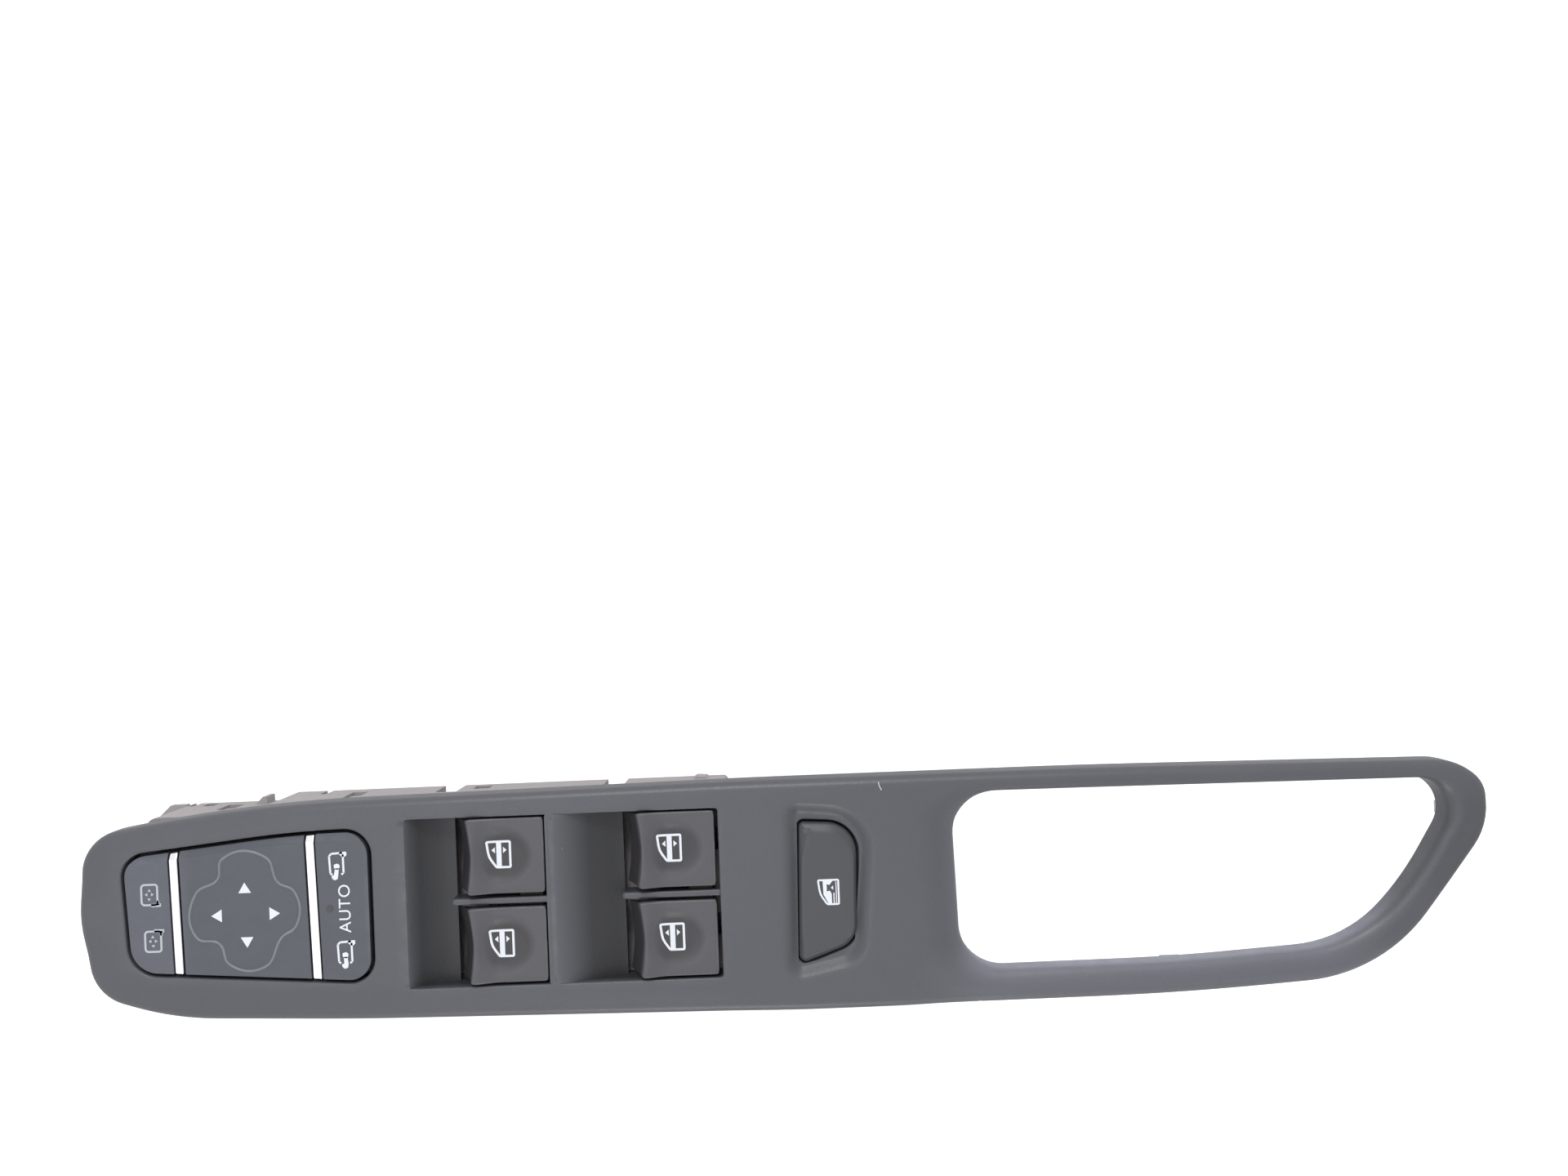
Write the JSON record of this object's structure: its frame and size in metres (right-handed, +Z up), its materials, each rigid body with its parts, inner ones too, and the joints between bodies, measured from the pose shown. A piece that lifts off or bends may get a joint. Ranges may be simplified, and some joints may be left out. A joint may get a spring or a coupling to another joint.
{
  "type": "power window switch panel",
  "caption": "Driver's door switch panel with window rockers, a mirror key module, a lock button and a pull handle loop.",
  "frame": {"origin": "under the middle of the outline, at the level of the base cover's underside", "axes": "+X along the panel from the mirror module to the handle loop, +Y to the far long side, +Z up out of the switches"},
  "size_m": [0.3916, 0.0641, 0.0373],
  "materials": {
    "panel_plastic": "fine moulded grain, satin",
    "rocker_plastic": "fine moulded grain, satin",
    "key_plastic": "smooth satin",
    "button_plastic": "fine moulded grain, satin",
    "housing_plastic": "smooth matt, light warm grey",
    "frame_plastic": "matt, dark grey",
    "connector_plastic": "matt, black",
    "smoked_plastic": "gloss, nearly black",
    "clear_plastic": "clear, polished",
    "lamp_plastic": "gloss, cream",
    "silicone": "matt, translucent white",
    "board_laminate": "satin, green",
    "chrome_plate": "polished",
    "clip_steel": "zinc-coated, satin",
    "contact_brass": "tinned, bright"
  },
  "bodies": {
    "base": {"bezel": "panel_plastic", "spring_clips": "clip_steel", "switch_housing": "housing_plastic", "base_cover": "housing_plastic", "circuit_board": "board_laminate", "door_connector": "connector_plastic", "connector_pins": "contact_brass", "window_dome_mat": "silicone", "mirror_dome_mat": "silicone", "lock_dome_mat": "silicone", "mirror_frame": "frame_plastic", "chrome_strip_front": "chrome_plate", "chrome_strip_rear": "chrome_plate", "window_light_guide_front": "clear_plastic", "window_light_guide_rear": "clear_plastic", "board_leds": "lamp_plastic", "module_screws": "clip_steel", "lock_switch_housing": "frame_plastic"},
    "front_right_rocker": {"front_right_rocker": "rocker_plastic"},
    "front_left_rocker": {"front_left_rocker": "rocker_plastic"},
    "rear_right_rocker": {"rear_right_rocker": "rocker_plastic"},
    "rear_left_rocker": {"rear_left_rocker": "rocker_plastic"},
    "mirror_select_key": {"mirror_select_key": "key_plastic"},
    "mirror_fold_key": {"mirror_fold_key": "key_plastic", "fold_indicator_lens": "smoked_plastic"},
    "pad_gimbal": {"pad_gimbal": "frame_plastic"},
    "mirror_pad": {"mirror_pad": "key_plastic"},
    "lock_button": {"lock_button": "button_plastic"}
  },
  "joints": [
    {"name": "front_right_rock", "type": "hinge", "parent": "base", "child": "front_right_rocker", "pos_m": [-0.0706, 0.0138, 0.03], "axis": [0, 1, 0], "range_deg": [-6.5, 6.5], "stiffness_Nm_per_rad": 0.4},
    {"name": "front_left_rock", "type": "hinge", "parent": "base", "child": "front_left_rocker", "pos_m": [-0.0706, -0.0108, 0.03], "axis": [0, 1, 0], "range_deg": [-6.5, 6.5], "stiffness_Nm_per_rad": 0.4},
    {"name": "rear_right_rock", "type": "hinge", "parent": "base", "child": "rear_right_rocker", "pos_m": [-0.0234, 0.0138, 0.03], "axis": [0, 1, 0], "range_deg": [-6.5, 6.5], "stiffness_Nm_per_rad": 0.4},
    {"name": "rear_left_rock", "type": "hinge", "parent": "base", "child": "rear_left_rocker", "pos_m": [-0.0234, -0.0108, 0.03], "axis": [0, 1, 0], "range_deg": [-6.5, 6.5], "stiffness_Nm_per_rad": 0.4},
    {"name": "mirror_select_rock", "type": "hinge", "parent": "base", "child": "mirror_select_key", "pos_m": [-0.1755, 0.0006, 0.03], "axis": [1, 0, 0], "range_deg": [-3, 3], "stiffness_Nm_per_rad": 0.4},
    {"name": "mirror_fold_rock", "type": "hinge", "parent": "base", "child": "mirror_fold_key", "pos_m": [-0.122, 0.001, 0.03], "axis": [1, 0, 0], "range_deg": [-3, 3], "stiffness_Nm_per_rad": 0.4},
    {"name": "mirror_pad_up_down", "type": "hinge", "parent": "base", "child": "pad_gimbal", "pos_m": [-0.1489, 0.0003, 0.03], "axis": [1, 0, 0], "range_deg": [-3, 3], "stiffness_Nm_per_rad": 0.4},
    {"name": "mirror_pad_left_right", "type": "hinge", "parent": "pad_gimbal", "child": "mirror_pad", "pos_m": [-0.1489, 0.0003, 0.03], "axis": [0, 1, 0], "range_deg": [-3, 3], "stiffness_Nm_per_rad": 0.4},
    {"name": "lock_press", "type": "slide", "parent": "base", "child": "lock_button", "axis": [0, 0, -1], "range_m": [0, 0.0015], "stiffness_N_per_m": 1200}
  ]
}
